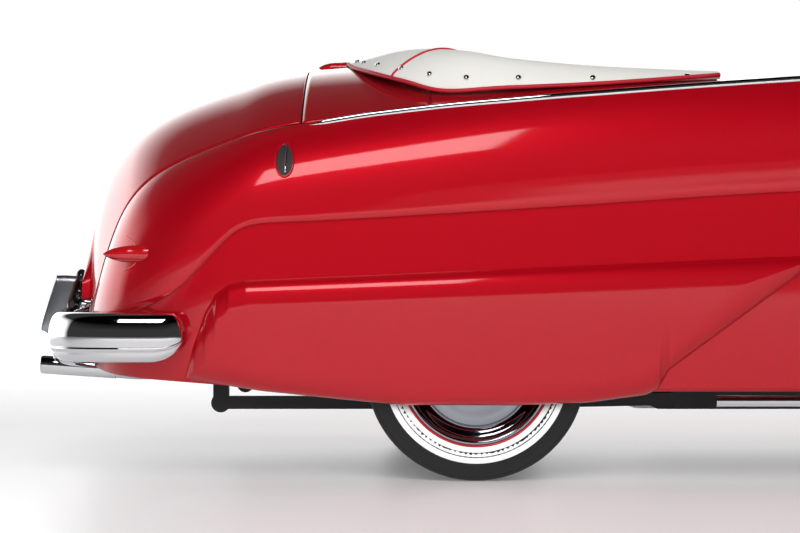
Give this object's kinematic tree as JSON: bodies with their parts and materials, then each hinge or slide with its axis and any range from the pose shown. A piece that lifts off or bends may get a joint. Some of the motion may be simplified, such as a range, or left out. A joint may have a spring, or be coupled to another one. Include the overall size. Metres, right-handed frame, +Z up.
{
  "type": "convertible car",
  "caption": "Lowered two-door open car with a rounded body, covered rear wheels, wrap-round bumpers, whitewall tyres and a soft cover over its folded top.",
  "frame": {"origin": "on the floor under the middle of the car's length and width", "axes": "+X to the front of the car, +Y to its left, +Z up"},
  "size_m": [5.1991, 1.9352, 1.4858],
  "materials": {
    "candy_red": "candy metallic red gloss",
    "chrome": "polished chrome",
    "tyre": "black rubber with a white side band",
    "glass": "clear glass",
    "cream_leather": "cream leather with red piping",
    "cream_fabric": "cream coated cloth with red piping",
    "red_lens": "clear red lens",
    "headlamp": "clear lens in a chrome ring",
    "engine_iron": "dull iron",
    "cream_plastic": "cream gloss",
    "black_steel": "satin black"
  },
  "bodies": {
    "body": {"boot_cover": "cream_fabric", "cowl": "candy_red", "cross_members": "black_steel", "dashboard": "candy_red", "deck_beam": "black_steel", "driveshaft": "black_steel", "engine_block": "engine_iron", "exhaust_pipes": "chrome", "fender_skirts": "candy_red", "floor_pan": "black_steel", "frame_rails": "black_steel", "front_bumper": "chrome", "front_fenders": "candy_red", "front_seat_back": "cream_leather", "front_seat_cushion": "cream_leather", "front_suspension": "black_steel", "fuel_tank": "black_steel", "grille": "chrome", "headlamps": "headlamp", "lake_pipes": "chrome", "nose_panel": "candy_red", "quarter_panels": "candy_red", "radiator": "black_steel", "rear_axle": "black_steel", "rear_bumper": "chrome", "rear_deck_panel": "candy_red", "rear_seat_back": "cream_leather", "rear_seat_cushion": "cream_leather", "rear_springs": "black_steel", "sills": "candy_red", "steering_column": "black_steel", "tail_lamps": "red_lens", "tail_panel": "candy_red", "windscreen_frame": "chrome", "windscreen_glass": "glass"},
    "hood": {"hood": "candy_red"},
    "deck_lid": {"deck_lid": "candy_red"},
    "door_left": {"door_left": "candy_red"},
    "door_right": {"door_right": "candy_red"},
    "steering_wheel": {"steering_wheel": "cream_plastic"},
    "knuckle_left": {"knuckle_left": "black_steel"},
    "knuckle_right": {"knuckle_right": "black_steel"},
    "wheel_rear_left": {"tyre_rear_left": "tyre", "wheel_rear_left": "chrome"},
    "wheel_rear_right": {"tyre_rear_right": "tyre", "wheel_rear_right": "chrome"},
    "wheel_front_left": {"tyre_front_left": "tyre", "wheel_front_left": "chrome"},
    "wheel_front_right": {"tyre_front_right": "tyre", "wheel_front_right": "chrome"}
  },
  "joints": [
    {"name": "hood_hinge", "type": "hinge", "parent": "body", "child": "hood", "pos_m": [0.7635, 0, 1.183], "axis": [0, -1, 0], "range_deg": [0, 42]},
    {"name": "deck_lid_hinge", "type": "hinge", "parent": "body", "child": "deck_lid", "pos_m": [-1.64, 0, 1.18], "axis": [0, 1, 0], "range_deg": [0, 50]},
    {"name": "door_left_hinge", "type": "hinge", "parent": "body", "child": "door_left", "pos_m": [0.8565, 0.935, 0.7], "axis": [0, 0, -1], "range_deg": [0, 62]},
    {"name": "door_right_hinge", "type": "hinge", "parent": "body", "child": "door_right", "pos_m": [0.8565, -0.935, 0.7], "axis": [0, 0, 1], "range_deg": [0, 62]},
    {"name": "steering_turn", "type": "hinge", "parent": "body", "child": "steering_wheel", "pos_m": [0.34, 0.37, 1], "axis": [0.8673, 0, -0.4978], "range_deg": [-560, 560]},
    {"name": "steer_left", "type": "hinge", "parent": "body", "child": "knuckle_left", "pos_m": [1.747, 0.62, 0.31], "axis": [0, 0, -1], "range_deg": [-29, 29]},
    {"name": "steer_right", "type": "hinge", "parent": "body", "child": "knuckle_right", "pos_m": [1.747, -0.62, 0.31], "axis": [0, 0, -1], "range_deg": [-29, 29]},
    {"name": "spin_rear_left", "type": "hinge", "parent": "body", "child": "wheel_rear_left", "pos_m": [-1.25, 0.762, 0.31], "axis": [0, 1, 0], "continuous": true},
    {"name": "spin_rear_right", "type": "hinge", "parent": "body", "child": "wheel_rear_right", "pos_m": [-1.25, -0.762, 0.31], "axis": [0, 1, 0], "continuous": true},
    {"name": "spin_front_left", "type": "hinge", "parent": "knuckle_left", "child": "wheel_front_left", "pos_m": [1.747, 0.743, 0.31], "axis": [0, 1, 0], "continuous": true},
    {"name": "spin_front_right", "type": "hinge", "parent": "knuckle_right", "child": "wheel_front_right", "pos_m": [1.747, -0.743, 0.31], "axis": [0, 1, 0], "continuous": true}
  ],
  "couplings": [
    {"joint": "steer_left", "follows": "steering_turn", "ratio": 0.05},
    {"joint": "steer_right", "follows": "steering_turn", "ratio": 0.05}
  ]
}
